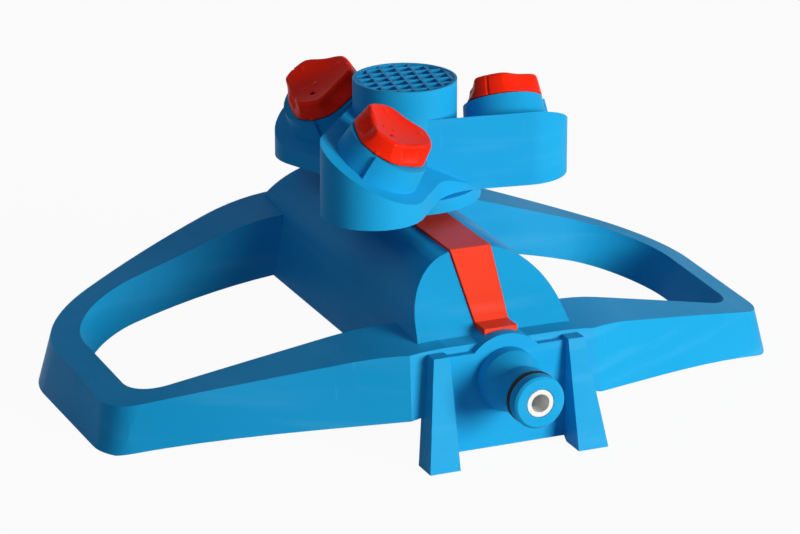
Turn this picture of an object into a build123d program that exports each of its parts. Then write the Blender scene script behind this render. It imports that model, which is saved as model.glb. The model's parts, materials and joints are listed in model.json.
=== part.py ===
from build123d import *
import os
from math import ceil, cos, radians, sin, sqrt, tan

# Garden sprinkler: a moulded base with two looped wings and a vaulted tower, a hose inlet at the
# front, and a three-armed rotor with one adjustable nozzle dial on each arm.
# Millimetres. While it is built, the rotor turns about x = y = 0 and the ground is z = 0.
# +X runs along the wings and the hose inlet faces -Y. At the end everything is moved along Y so
# that the origin is the middle of the footprint.

# Fits and gaps
running_gap = 0.06
moving_gap = 0.3
seat_gap = 0.1
strip_gap = 0.25

# Base shell: wall, ground outline and drafts
wall = 2.2
wing_end_x = 111.4
front_corner_y = -34.0
front_sweep = 29.6
front_mid_y = -79.4
back_crown_y = 74.0
back_radius = 200.0
front_corner_r = 15.0
back_corner_r = 34.0
front_draft = 0.20
end_draft = 0.22
back_draft = 0.24

# Base shell: top of the bars, as a crest height and a fall towards the wing ends, in degrees
front_profile_y = -70.0
back_profile_y = 42.0
bend_start_x = 18.0
bend_end_x = 44.0
front_crest_z = 33.8
back_crest_z = 39.9
front_fall = 15.5
back_fall = 17.5

# Base shell: arched underside, as heights at three distances from the middle
arch_x = (0.0, 60.0, 110.0)
front_arch_z = (19.7, 9.0, -0.6)
back_arch_z = (22.0, 16.0, -0.6)

# Wing openings, measured at the reference height
opening_x = 101.7
opening_front_y = -49.6
opening_front_sweep = 13.1
opening_back_y = 41.5
opening_front_r = 15.0
opening_back_r = 27.0
opening_draft = 0.14
opening_ref_z = 30.0

# Tower vault and its slanting gables
crown_z = 54.2
crown_flat = 6.8
vault_side_x = 23.6
vault_side_z = 38.5
vault_lean = 0.215
tower_floor_z = 20.4
gable_top_y = 49.0
gable_slope = 49.0
rib_thick = 2.0
rib_depth = 6.0

# Inlet plate, its tunnel and the two wedge feet
plate_setback = 4.0
plate_y = front_mid_y + plate_setback
plate_half = 24.0
plate_top_z = 31.7
plate_floor_z = 1.4
inlet_z = 22.9
tunnel_r = 13.5
foot_inner_x = 19.1
foot_outer_x = 28.8
foot_front_y = plate_y - 10.4
foot_top_z = 32.6
foot_top_outer_x = 24.2
foot_top_front_y = plate_y - 2.2

# Hose nipple
nipple_length = 23.7
tip_y = plate_y - nipple_length
nose_r = 8.0
nose_length = 4.2
nose_chamfer = 0.8
oring_width = 2.3
oring_section_r = 1.0
oring_floor_r = 6.1
ring_r = 7.9
ring_length = 3.4
neck_r = 6.9
neck_length = 3.7
cone_length = 6.0
boss_r = 9.5
spigot_r = 6.4
spigot_length = 9.4
insert_r = 4.2
insert_bore_r = 2.75
insert_length = 9.0
filter_thick = 1.2
filter_bar = 0.5
filter_pitch = 1.6
filter_bars = 2
seal_thick = 1.4

# Orange strip along the crown and down the front gable
strip_half = 6.6
strip_foot_half = 5.3
strip_thick = 1.7
strip_sink = 1.0
strip_toe_y = plate_y + 3.9
strip_start_y = -12.0
strip_pin_r = 1.4
strip_pin_length = 3.4
strip_pin_y = (-20.0, -42.0)

# Water duct below the crown
duct_wall = 1.8
duct_bore_r = 5.2
socket_top_z = 41.0
socket_floor_z = 14.4
ear_x = 14.0
ear_y = (0.0, -40.0)
ear_r = 3.6
ear_z = 27.5
ear_thick = 2.4
screw_head_r = 2.7
screw_head_height = 1.9
screw_shank_r = 1.4
screw_length = 9.0

# Bearing: spindle, bush, washer, clip and seal
spindle_r = 5.0
spindle_bore_r = 3.4
spindle_foot_z = 27.0
spindle_top_z = 71.9
bush_r = 7.6
bush_flange_r = 10.2
bush_flange_thick = 1.3
bush_foot_z = 45.5
tower_boss_r = 11.0
tower_boss_top_z = 56.6
tower_boss_foot_z = 46.5
washer_thick = 0.9
clip_thick = 1.0
clip_r = 7.4
clip_groove = 0.6
socket_seal_r = 0.6
socket_seal_z = 38.0

# Rotor
hub_r = 16.0
hub_top_z = 93.9
rotor_floor_z = 61.5
arm_count = 3
arm_first_angle = -8.8
arm_reach = 35.6
arm_half = 15.7
arm_notch_r = 18.0
arm_edge_z = 84.8
arm_slope = 29.5
rotor_wall = 2.4
cover_thick = 2.2
skirt_r = 23.5
skirt_height = 4.2
post_r = 10.0
hub_roof_z = 87.6
chamber_r = 4.0
chamber_top_z = 76.0
channel_r = 3.0
channel_z = 70.0
channel_wall = 2.0

# Gridded cap on the hub
cap_r = 15.1
cap_thick = 3.4
cap_sink = 0.2
cell_pitch = 4.66
cell_wall = 0.9
cell_depth = 2.1
cap_rim = 0.5

# Nozzle dials, each in its own tilted frame: x' points outwards, y' downhill and z' along its axis
dial_tilt = 30.5
dial_inset = 3.5
dial_radial = arm_reach - dial_inset
dial_tangential = 3.8
dial_base_z = 82.95
dial_pointers = (115.0, 116.0, -2.0)
dial_r = 12.4
dial_top_r = 11.5
dial_height = 6.5
dial_rim_height = 1.3
dial_flanks = ((58.0, 8.4), (-58.0, 8.4), (180.0, 9.4))
dial_scoop_r = 11.0
dial_dish_r = 54.0
dial_dish_depth = 1.5
dial_dish_x = 2.0
dial_tooth_r = 0.8
dial_tooth_reach = 0.4
dial_gap = 0.35
stem_r = 8.2
stem_length = 5.4
ring_section_r = 0.45
ring_h = -2.6
collar_r = 12.3
collar_foot_r = 13.2
stop_r = 13.5
stop_foot_r = 14.6
collar_depth = 9.2
stop_start = 0.5
stop_sweep = 118.0
well_depth = 9.0
seat_thick = 1.8
seat_hole_r = 3.0
jet_x = 5.6
jet_r = 1.6
jet_bore_r = 0.8
jet_height = 4.0
jet_sink = 0.3

# Tools that reach past what they cut, by little or by much
nudge = 1.0
tiny = 0.01
over = 12.0
sky_z = 62.0

os.makedirs("parts", exist_ok=True)
pieces = {}


# Base shell

def outline(z, inset):
    """Face of the base's outline at height z, with its drafted sides moved in by inset."""
    sweep = radians(front_sweep)
    end_x = wing_end_x - end_draft * z - inset
    mid_y = front_mid_y + front_draft * z + inset
    shift = (front_draft * z + inset) / cos(sweep)
    corner_y = front_corner_y + shift - (wing_end_x - end_x) * tan(sweep)
    mid_x = end_x - (corner_y - mid_y) / tan(sweep)
    back_r = back_radius - back_draft * z - inset
    back_y = back_crown_y - back_radius
    end_y = back_y + sqrt(back_r**2 - end_x**2)
    edges = [Line((-mid_x, mid_y), (mid_x, mid_y))]
    for side in (1, -1):
        edges.append(Line((side * mid_x, mid_y), (side * end_x, corner_y)))
        edges.append(Line((side * end_x, corner_y), (side * end_x, end_y)))
    edges.append(ThreePointArc((end_x, end_y), (0, back_y + back_r), (-end_x, end_y)))
    face = make_face(edges)
    front = [v for v in face.vertices() if abs(v.X) > mid_x + nudge and v.Y < 0]
    face = fillet(front, front_corner_r - inset)
    back = [v for v in face.vertices() if abs(v.X) > mid_x + nudge and v.Y > end_y - tiny]
    face = fillet(back, back_corner_r - inset)
    return Pos(0, 0, z) * face


def body_block(inset):
    """Drafted block over the whole outline."""
    return loft([outline(0, inset), outline(sky_z, inset)], ruled=True)


def top_profile(crest_z, fall):
    """Closed face in XZ below the bars' top: level, then a tangent bend, then a straight fall."""
    angle = radians(fall)
    bend_r = (bend_end_x - bend_start_x) / sin(angle)
    half_x = bend_start_x + bend_r * sin(angle / 2)
    half_z = crest_z - bend_r * (1 - cos(angle / 2))
    knee_z = crest_z - bend_r * (1 - cos(angle))
    end_x = wing_end_x + over
    end_z = knee_z - (end_x - bend_end_x) * tan(angle)
    edges = [Line((-bend_start_x, crest_z), (bend_start_x, crest_z)), Line((-end_x, -over), (end_x, -over))]
    for side in (1, -1):
        start = (side * bend_start_x, crest_z)
        knee = (side * bend_end_x, knee_z)
        end = (side * end_x, end_z)
        edges.append(ThreePointArc(start, (side * half_x, half_z), knee))
        edges.append(Line(knee, end))
        edges.append(Line(end, (side * end_x, -over)))
    return make_face(edges)


def arch_profile(heights):
    """Closed face in XZ below the arched underside of the bars."""
    x0, x1, x2 = arch_x
    z0, z1, z2 = heights
    edges = [Line((-x2, -over), (x2, -over))]
    for side in (1, -1):
        edges.append(ThreePointArc((x0, z0), (side * x1, z1), (side * x2, z2)))
        edges.append(Line((side * x2, z2), (side * x2, -over)))
    return make_face(edges)


def along_y(profile, front_values, back_values):
    """Ruled solid through a profile at the front and at the back, carried on past both bars."""
    faces = []
    for y in (front_profile_y - 2 * over, back_profile_y + 4 * over):
        share = (y - front_profile_y) / (back_profile_y - front_profile_y)
        values = [a + (b - a) * share for a, b in zip(front_values, back_values)]
        faces.append(Plane.XZ.offset(-y) * profile(values))
    return loft(faces, ruled=True)


def under_top(drop):
    """Everything below the top surface of the bars, lowered by drop."""
    front = (front_crest_z - drop, front_fall)
    back = (back_crest_z - drop, back_fall)
    return along_y(lambda values: top_profile(*values), front, back)


def opening_block(side, grow):
    """Drafted block of one wing opening, wider at the top. It reaches inside the tower."""
    sweep = radians(opening_front_sweep)
    root_x = vault_side_x - over
    faces = []
    for z in (-nudge, sky_z):
        out = opening_draft * (z - opening_ref_z) + grow
        end_x = opening_x + out
        back_y = opening_back_y + out
        shift = out / cos(sweep)
        root_y = opening_front_y - shift - (vault_side_x - root_x) * tan(sweep)
        end_y = root_y + (end_x - root_x) * tan(sweep)
        points = [(root_x, root_y), (end_x, end_y), (end_x, back_y), (root_x, back_y)]
        face = make_face(Polyline(*points, close=True))
        front = [v for v in face.vertices() if v.X > root_x + nudge and v.Y < 0]
        face = fillet(front, opening_front_r + out)
        back = [v for v in face.vertices() if v.X > end_x - tiny and v.Y > back_y - tiny]
        face = fillet(back, opening_back_r + out)
        faces.append(Pos(0, 0, z) * face)
    block = loft(faces, ruled=True)
    if side < 0:
        block = mirror(block, about=Plane.YZ)
    return block


def vault_face(inset, floor_z):
    """Cross-section of the tower: leaning sides, a round shoulder tangent to them and a flat crown."""
    foot_x = vault_side_x + (vault_side_z - floor_z) * vault_lean
    edges = [Line((-crown_flat, crown_z), (crown_flat, crown_z)), Line((-foot_x, floor_z), (foot_x, floor_z))]
    for side in (1, -1):
        foot = (side * foot_x, floor_z)
        shoulder = (side * vault_side_x, vault_side_z)
        crown = (side * crown_flat, crown_z)
        edges.append(Line(foot, shoulder))
        edges.append(TangentArc(shoulder, crown, tangent=(-side * vault_lean, 1)))
    face = make_face(edges)
    if inset > 0:
        face = offset(face, amount=-inset, kind=Kind.INTERSECTION)
    return face


def gable_y(z, out):
    """Distance of the gable plane from the middle at height z, moved outwards by out."""
    slope = radians(gable_slope)
    return gable_top_y + (crown_z - z) / tan(slope) + out / sin(slope)


def tower_block(inset, floor_z):
    """Vault between its two slanting gables."""
    vault = extrude(Plane.XZ * vault_face(inset, floor_z), 4 * plate_half, both=True)
    low = floor_z - over
    high = crown_z + over
    points = [(-gable_y(high, -inset), high), (gable_y(high, -inset), high)]
    points += [(gable_y(low, -inset), low), (-gable_y(low, -inset), low)]
    gables = extrude(Plane.YZ * make_face(Polyline(*points, close=True)), 2 * plate_half, both=True)
    return vault & gables


def rod(radius, start, end):
    """Round bar from one point to another."""
    axis = Vector(*end) - Vector(*start)
    plane = Plane(origin=start, z_dir=axis.normalized())
    return extrude(plane * Circle(radius), axis.length)


def block(x_range, y_range, z_range):
    """Box between pairs of limits."""
    size = [high - low for low, high in (x_range, y_range, z_range)]
    corner = (x_range[0], y_range[0], z_range[0])
    return Pos(*corner) * Box(*size, align=Align.MIN)


def foot_wedge(side, inset):
    """Wedge foot, loft from its ground rectangle to the small one at the plate's top."""
    faces = []
    levels = [(0.0, foot_outer_x, foot_front_y), (foot_top_z, foot_top_outer_x, foot_top_front_y)]
    for z, outer_x, front_y in levels:
        low_x = foot_inner_x + inset
        high_x = outer_x - inset
        low_y = front_y + inset
        high_y = plate_y + wall + inset
        points = [(low_x, low_y), (high_x, low_y), (high_x, high_y), (low_x, high_y)]
        faces.append(Pos(0, 0, z - 2 * inset) * make_face(Polyline(*points, close=True)))
    wedge = loft(faces, ruled=True)
    if side < 0:
        wedge = mirror(wedge, about=Plane.YZ)
    return wedge


def strip_side(out, sink, end):
    """Side view of the strip in YZ: along the crown, down the gable and out over the tunnel."""
    toe_z = inlet_z + tunnel_r
    toe_y = strip_toe_y - end
    start_y = strip_start_y + end
    points = [(start_y, crown_z + out), (-gable_y(crown_z + out, out), crown_z + out)]
    points += [(-gable_y(toe_z + out, out), toe_z + out), (toe_y, toe_z + out), (toe_y, toe_z - sink)]
    points += [(-gable_y(toe_z - sink, -sink), toe_z - sink)]
    points += [(-gable_y(crown_z - sink, -sink), crown_z - sink), (start_y, crown_z - sink)]
    return Plane.YZ * make_face(Polyline(*points, close=True))


def strip_solid(out, sink, side_gap):
    """Strip of even width on the crown that narrows down the gable."""
    side = extrude(strip_side(out, sink, side_gap), strip_half * 2, both=True)
    wide = strip_half + side_gap
    narrow = strip_foot_half + side_gap
    points = []
    for sign in (1, -1):
        row = [(sign * narrow, strip_toe_y - over), (sign * narrow, strip_toe_y + over / 2)]
        row += [(sign * wide, -gable_top_y), (sign * wide, strip_start_y + over)]
        points += row if sign > 0 else row[::-1]
    plan = extrude(make_face(Polyline(*points, close=True)), sky_z + over)
    return side & plan


def base_outside():
    """Outer form of the base before it is hollowed."""
    bars = body_block(0) & under_top(0)
    for side in (1, -1):
        bars -= opening_block(side, 0)
    bars -= along_y(arch_profile, front_arch_z, back_arch_z)
    notch = block((-plate_half, plate_half), (plate_y - over, plate_y), (-over, sky_z))
    bars -= notch
    body = bars + (tower_block(0, tower_floor_z) & body_block(0))
    plate_back = plate_y + 3 * wall
    body += block((-plate_half, plate_half), (plate_y, plate_back), (plate_floor_z, plate_top_z))
    body += rod(tunnel_r, (0, plate_y, inlet_z), (0, -gable_top_y, inlet_z)) & tunnel_room()
    for side in (1, -1):
        body += foot_wedge(side, 0)
    return body


def tunnel_room():
    """Room that keeps the tunnel in front of the gable and above the inlet axis."""
    points = [(plate_y, inlet_z), (plate_y, sky_z), (-gable_y(sky_z, -wall), sky_z)]
    points += [(-gable_y(inlet_z, -wall), inlet_z)]
    return extrude(Plane.YZ * make_face(Polyline(*points, close=True)), 2 * tunnel_r, both=True)


def base_hollow():
    """Room inside the base, open below."""
    bars = body_block(wall) & under_top(wall)
    for side in (1, -1):
        bars -= opening_block(side, wall)
    plate_back = plate_y + wall
    bars -= block((-plate_half, plate_half), (plate_y - over, plate_back), (-over, sky_z))
    room = bars + (tower_block(wall, tower_floor_z - 2 * over) & body_block(wall))
    plate_inside = plate_half - wall
    room += block((-plate_inside, plate_inside), (plate_back, -gable_top_y), (-over, plate_top_z - wall))
    room += rod(tunnel_r - wall, (0, plate_back, inlet_z), (0, -gable_top_y, inlet_z))
    for side in (1, -1):
        room += foot_wedge(side, wall)
    return room


def base_shell():
    shell = base_outside() - base_hollow()
    # Boss for the bearing with four ribs, and bosses for the duct's screws
    tower = tower_block(wall / 2, tower_floor_z)
    inner_z = crown_z - wall
    extras = rod(tower_boss_r, (0, 0, tower_boss_foot_z), (0, 0, tower_boss_top_z))
    half = rib_thick / 2
    rib_range = (inner_z - rib_depth, inner_z + wall / 2)
    ribs = block((-vault_side_x, vault_side_x), (-half, half), rib_range)
    ribs += block((-half, half), (-gable_top_y, gable_top_y), rib_range)
    extras += ribs & tower
    ear_top_z = ear_z + ear_thick + seat_gap
    for x in (ear_x, -ear_x):
        for y in ear_y:
            extras += rod(ear_r, (x, y, ear_top_z), (x, y, crown_z)) & tower
    shell += extras
    for x in (ear_x, -ear_x):
        for y in ear_y:
            shell -= rod(screw_shank_r + seat_gap, (x, y, ear_z), (x, y, ear_z + screw_length + nudge))
    shell -= rod(bush_r + seat_gap, (0, 0, tower_floor_z), (0, 0, sky_z))
    # Hole of the nipple's spigot, groove of the strip and holes of its pins
    shell -= rod(spigot_r + seat_gap, (0, plate_y - nudge, inlet_z), (0, plate_y + 2 * wall, inlet_z))
    shell -= strip_solid(over, strip_sink + seat_gap, strip_gap)
    pin_hole_z = crown_z - strip_pin_length - 2 * strip_sink
    for y in strip_pin_y:
        shell -= rod(strip_pin_r + seat_gap, (0, y, pin_hole_z), (0, y, crown_z))
    return shell


pieces["base_shell"] = base_shell()

# Strip with its pins

strip = strip_solid(strip_thick - strip_sink, strip_sink, 0)
pin_foot_z = crown_z - strip_sink - strip_pin_length
for y in strip_pin_y:
    strip += rod(strip_pin_r, (0, y, pin_foot_z), (0, y, crown_z))
pieces["trim_strip"] = strip

# Nipple, its O-ring, the white insert, the filter and the seal behind it

oring_y = tip_y + nose_length
ring_y = oring_y + oring_width
neck_y = ring_y + ring_length
cone_y = neck_y + neck_length
shoulder_y = cone_y + cone_length
boss_y = plate_y - seat_gap
spigot_y = plate_y + spigot_length
nipple_bore_r = insert_r + seat_gap
nipple_points = [(nipple_bore_r, tip_y), (nose_r - nose_chamfer, tip_y), (nose_r, tip_y + nose_chamfer)]
nipple_points += [(nose_r, oring_y), (oring_floor_r, oring_y), (oring_floor_r, ring_y), (ring_r, ring_y)]
nipple_points += [(ring_r, neck_y), (neck_r, neck_y), (neck_r, cone_y), (boss_r, shoulder_y), (boss_r, boss_y)]
nipple_points += [(spigot_r, boss_y), (spigot_r, spigot_y), (nipple_bore_r, spigot_y)]
nipple_axis = Axis((0, 0, inlet_z), (0, 1, 0))


def inlet_revolve(points):
    """Solid of revolution about the inlet axis from (radius, y) pairs."""
    face = make_face(Polyline(*[(r, y, inlet_z) for r, y in points], close=True))
    return revolve(face, nipple_axis, 360)


pieces["inlet_nipple"] = inlet_revolve(nipple_points)
oring_middle_r = oring_floor_r + oring_section_r + seat_gap / 2
oring_frame = Plane(origin=(0, oring_y + oring_width / 2, inlet_z), z_dir=(0, 1, 0))
pieces["nipple_o_ring"] = oring_frame * Torus(oring_middle_r, oring_section_r)
insert_end_y = tip_y + insert_length
insert_points = [(insert_bore_r, tip_y), (insert_r, tip_y), (insert_r, insert_end_y), (insert_bore_r, insert_end_y)]
pieces["inlet_insert"] = inlet_revolve(insert_points)

filter_frame = Plane(origin=(0, insert_end_y + seat_gap, inlet_z), x_dir=(1, 0, 0), z_dir=(0, 1, 0))
filter_cells = Circle(insert_r - 2 * filter_bar)
for step in range(-filter_bars, filter_bars + 1):
    filter_cells -= Pos(step * filter_pitch, 0) * Rectangle(filter_bar, 2 * insert_r)
    filter_cells -= Pos(0, step * filter_pitch) * Rectangle(2 * insert_r, filter_bar)
pieces["inlet_filter"] = extrude(filter_frame * (Circle(insert_r) - filter_cells), filter_thick)
seal_front_y = spigot_y + seat_gap
seal_back_y = seal_front_y + seal_thick
seal_points = [(nipple_bore_r, seal_front_y), (spigot_r, seal_front_y), (spigot_r, seal_back_y)]
seal_points += [(nipple_bore_r, seal_back_y)]
pieces["inlet_seal"] = inlet_revolve(seal_points)

# Water duct with its upright socket, and its screws

duct_r = spigot_r + seat_gap + duct_wall
socket_bore_r = spindle_r + 2 * socket_seal_r + seat_gap
socket_r = socket_bore_r + duct_wall
duct_front_y = plate_y + wall + seat_gap
duct_step_y = seal_back_y + seat_gap
duct = rod(duct_r, (0, duct_front_y, inlet_z), (0, 0, inlet_z))
duct += rod(socket_r, (0, 0, socket_floor_z), (0, 0, socket_top_z))
for y in ear_y:
    duct += block((-ear_x, ear_x), (y - ear_r, y + ear_r), (ear_z, ear_z + ear_thick))
    for x in (ear_x, -ear_x):
        duct += rod(ear_r, (x, y, ear_z), (x, y, ear_z + ear_thick))
duct -= rod(spigot_r + seat_gap, (0, duct_front_y, inlet_z), (0, duct_step_y, inlet_z))
duct -= rod(duct_bore_r, (0, duct_step_y, inlet_z), (0, 0, inlet_z))
duct -= rod(socket_bore_r, (0, 0, socket_floor_z + duct_wall), (0, 0, socket_top_z))
screws = []
for x in (ear_x, -ear_x):
    for y in ear_y:
        duct -= rod(screw_shank_r + seat_gap, (x, y, ear_z), (x, y, ear_z + ear_thick))
        head_z = ear_z - seat_gap - screw_head_height
        head = rod(screw_head_r, (x, y, head_z), (x, y, ear_z - seat_gap))
        screws.append(head + rod(screw_shank_r, (x, y, ear_z - seat_gap), (x, y, ear_z + screw_length)))
pieces["water_duct"] = duct
pieces["duct_screws"] = Compound(children=screws)

# Bearing of the rotor

bush_head_z = tower_boss_top_z + seat_gap
bush_top_z = bush_head_z + bush_flange_thick
washer_z = bush_top_z + seat_gap
washer_top_z = washer_z + washer_thick
post_foot_z = washer_top_z + seat_gap
bush = rod(bush_r, (0, 0, bush_foot_z), (0, 0, bush_top_z))
bush += rod(bush_flange_r, (0, 0, bush_head_z), (0, 0, bush_top_z))
bush -= rod(spindle_r + running_gap, (0, 0, bush_foot_z), (0, 0, bush_top_z))
pieces["bearing_bush"] = bush
washer = rod(post_r, (0, 0, washer_z), (0, 0, washer_top_z))
washer -= rod(spindle_r + seat_gap, (0, 0, washer_z), (0, 0, washer_top_z))
pieces["thrust_washer"] = washer

clip_top_z = bush_foot_z - moving_gap
clip_foot_z = clip_top_z - clip_thick
clip_inner_r = spindle_r - clip_groove
spindle = rod(spindle_r, (0, 0, spindle_foot_z), (0, 0, spindle_top_z))
spindle -= rod(spindle_bore_r, (0, 0, spindle_foot_z), (0, 0, spindle_top_z))
groove = rod(spindle_r + nudge, (0, 0, clip_foot_z - seat_gap), (0, 0, clip_top_z + seat_gap))
groove -= rod(clip_inner_r, (0, 0, clip_foot_z - seat_gap), (0, 0, clip_top_z + seat_gap))
spindle -= groove
pieces["spindle"] = spindle
clip = rod(clip_r, (0, 0, clip_foot_z), (0, 0, clip_top_z))
clip -= rod(clip_inner_r + seat_gap / 2, (0, 0, clip_foot_z), (0, 0, clip_top_z))
clip -= block((-clip_inner_r / 2, clip_inner_r / 2), (0, clip_r + nudge), (clip_foot_z, clip_top_z))
pieces["spindle_clip"] = clip
seal_middle_r = spindle_r + seat_gap / 2 + socket_seal_r
pieces["spindle_seal"] = Pos(0, 0, socket_seal_z) * Torus(seal_middle_r, socket_seal_r)

# Rotor shell

arm_angles = [arm_first_angle + 360 * k / arm_count for k in range(arm_count)]
half_turn = radians(360 / arm_count / 2)
notch_corner = arm_half / sin(half_turn)


def rotor_plan():
    """Plan of the rotor: the hub and three slot-shaped arms, with round notches between them."""
    plan = Circle(hub_r)
    for angle in arm_angles:
        arm = Pos(arm_reach / 2, 0) * Rectangle(arm_reach, 2 * arm_half) + Pos(arm_reach, 0) * Circle(arm_half)
        plan += Rot(0, 0, angle) * arm
    corners = [v for v in plan.vertices() if abs(sqrt(v.X**2 + v.Y**2) - notch_corner) < tiny]
    return fillet(corners, arm_notch_r)


def sector(angle, inset):
    """Share of the plan that one arm's slope covers: from its high wall to the next arm's."""
    edge = arm_half - inset
    turn = radians(360 / arm_count)
    far = 2 * (arm_reach + arm_half)
    next_wall = edge - inset / 2
    root = (next_wall * sin(turn), -next_wall * cos(turn))
    tip = (root[0] + far * cos(turn), root[1] + far * sin(turn))
    points = [(0, 0), (0, -edge), (far, -edge), (far, far), tip, root]
    return Rot(0, 0, angle) * make_face(Polyline(*points, close=True))


def slope_block(angle, drop):
    """Everything below the sloping roof of one arm, lowered by drop."""
    far = 2 * (arm_reach + arm_half)
    fall = tan(radians(arm_slope))
    high_z = arm_edge_z + (far - arm_half) * fall - drop
    low_z = arm_edge_z - (far + arm_half) * fall - drop
    points = [(-far, high_z), (far, low_z), (-far, low_z)]
    side = Plane.YZ * make_face(Polyline(*points, close=True))
    return Rot(0, 0, angle) * extrude(side, far, both=True)


def arm_block(plan, angle, inset, foot_z):
    """One arm between the floor and its roof."""
    share = Pos(0, 0, foot_z) * (plan & sector(angle, inset))
    drop = inset / cos(radians(arm_slope))
    return extrude(share, hub_top_z - foot_z) & slope_block(angle, drop)


def dial_plane(angle):
    """Frame of one dial: x' outwards, y' downhill, z' along the tilted axis."""
    turn = radians(angle)
    tilt = radians(dial_tilt)
    out = Vector(cos(turn), sin(turn), 0)
    across = Vector(-sin(turn), cos(turn), 0)
    up = Vector(0, 0, 1)
    origin = out * dial_radial + across * dial_tangential + up * dial_base_z
    return Plane(origin=origin, x_dir=out, z_dir=across * sin(tilt) + up * cos(tilt))


def dial_revolve(points, start, sweep):
    """Solid of revolution in a dial's frame from (radius, height) pairs."""
    face = Plane.XZ * make_face(Polyline(*points, close=True))
    return Rot(0, 0, start) * revolve(face, Axis.Z, sweep)


well_r = stem_r + running_gap
well_outer_r = well_r + rotor_wall
collar_top = -dial_gap
collar_foot = -collar_depth
collar_points = [(0, collar_top), (collar_r, collar_top), (collar_foot_r, collar_foot), (0, collar_foot)]
stop_points = [(well_outer_r, collar_top), (stop_r, collar_top), (stop_foot_r, collar_foot)]
stop_points += [(well_outer_r, collar_foot)]
plan = rotor_plan()
inner_plan = offset(plan, amount=-rotor_wall)

rotor = rod(hub_r, (0, 0, rotor_floor_z), (0, 0, hub_top_z))
cavity = rod(hub_r - rotor_wall, (0, 0, rotor_floor_z - nudge), (0, 0, hub_roof_z))
for angle in arm_angles:
    rotor += arm_block(plan, angle, 0, rotor_floor_z)
    cavity += arm_block(inner_plan, angle, rotor_wall, rotor_floor_z - nudge)
kept = rod(post_r, (0, 0, post_foot_z), (0, 0, hub_top_z - cap_sink - cap_thick))
bores = rod(spindle_r + seat_gap, (0, 0, post_foot_z), (0, 0, spindle_top_z + seat_gap))
bores += rod(chamber_r, (0, 0, spindle_top_z), (0, 0, chamber_top_z))
well_floor = -well_depth - rotor_wall
channel_drop = (dial_base_z - channel_z) / cos(radians(dial_tilt))
for angle in arm_angles:
    frame = dial_plane(angle)
    rotor += frame * dial_revolve(collar_points, 0, 360)
    rotor += frame * dial_revolve(stop_points, stop_start, stop_sweep)
    root = frame.from_local_coords(Vector(0, 0, -channel_drop))
    hub_middle = (0, 0, channel_z)
    kept += rod(channel_r + channel_wall, hub_middle, tuple(root))
    kept += frame * rod(well_outer_r, (0, 0, well_floor), (0, 0, well_floor + well_depth))
    kept += frame * rod(channel_r + channel_wall, (0, 0, -channel_drop), (0, 0, -well_depth))
    bores += rod(channel_r, hub_middle, tuple(root))
    bores += frame * rod(channel_r, (0, 0, -channel_drop), (0, 0, -well_depth))
    bores += frame * rod(well_r, (0, 0, -well_depth), (0, 0, 0))
cavity -= kept
rotor -= cavity
rotor += rod(post_r, (0, 0, post_foot_z), (0, 0, rotor_floor_z + nudge))
rotor -= bores
cap_top_z = hub_top_z - cap_sink
cap_foot_z = cap_top_z - cap_thick
rotor -= rod(cap_r + seat_gap, (0, 0, cap_foot_z - seat_gap), (0, 0, hub_top_z))
pieces["rotor_shell"] = rotor

# Rotor cover: a plate that closes the shell from below and a round skirt over the bearing

plate_foot_z = rotor_floor_z - seat_gap
plate_roof_z = plate_foot_z + cover_thick
web_foot_z = plate_foot_z - cover_thick
cover_plan = offset(plan, amount=-(rotor_wall + seat_gap))
cover = rod(hub_r - rotor_wall - seat_gap, (0, 0, plate_foot_z), (0, 0, plate_roof_z))
slab = rod(arm_reach + arm_half, (0, 0, plate_foot_z), (0, 0, plate_roof_z))
for angle in arm_angles:
    cover += arm_block(cover_plan, angle, rotor_wall + seat_gap, plate_foot_z) & slab
cover += rod(skirt_r, (0, 0, plate_foot_z - skirt_height), (0, 0, plate_foot_z))
cover -= rod(skirt_r - cover_thick, (0, 0, plate_foot_z - skirt_height), (0, 0, web_foot_z))
cover -= rod(post_r + seat_gap, (0, 0, web_foot_z), (0, 0, plate_roof_z))
pieces["rotor_cover"] = cover

# Gridded cap, with its rows along the first arm and one wall through the middle

field_r = cap_r - cap_rim
cell_side = cell_pitch - cell_wall
count = ceil(field_r / cell_pitch)
cells = []
for row in range(-count, count + 1):
    for column in range(-count, count):
        middle = Pos((column + 0.5) * cell_pitch, row * cell_pitch)
        cells.append(middle * Rectangle(cell_side, cell_side))
cell_field = Rot(0, 0, arm_first_angle) * (Sketch() + cells) & Circle(field_r)
cap = rod(cap_r, (0, 0, cap_foot_z), (0, 0, cap_top_z))
cap -= extrude(Pos(0, 0, cap_top_z - cell_depth) * cell_field, cell_depth)
pieces["hub_cap"] = cap

# Dials, their rings, nozzles and seats

def flank_scoop(turn, flank_in):
    """Round bar that hollows one flank, from flank_in at the top's edge down to the rim."""
    run = dial_r - flank_in
    drop = dial_height - dial_rim_height
    chord = sqrt(run**2 + drop**2)
    rise = sqrt(dial_scoop_r**2 - chord**2 / 4)
    x = flank_in + run / 2 + rise * drop / chord
    h = dial_rim_height + drop / 2 + rise * run / chord
    return Rot(0, 0, turn) * rod(dial_scoop_r, (x, -dial_r, h), (x, dial_r, h))


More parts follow.
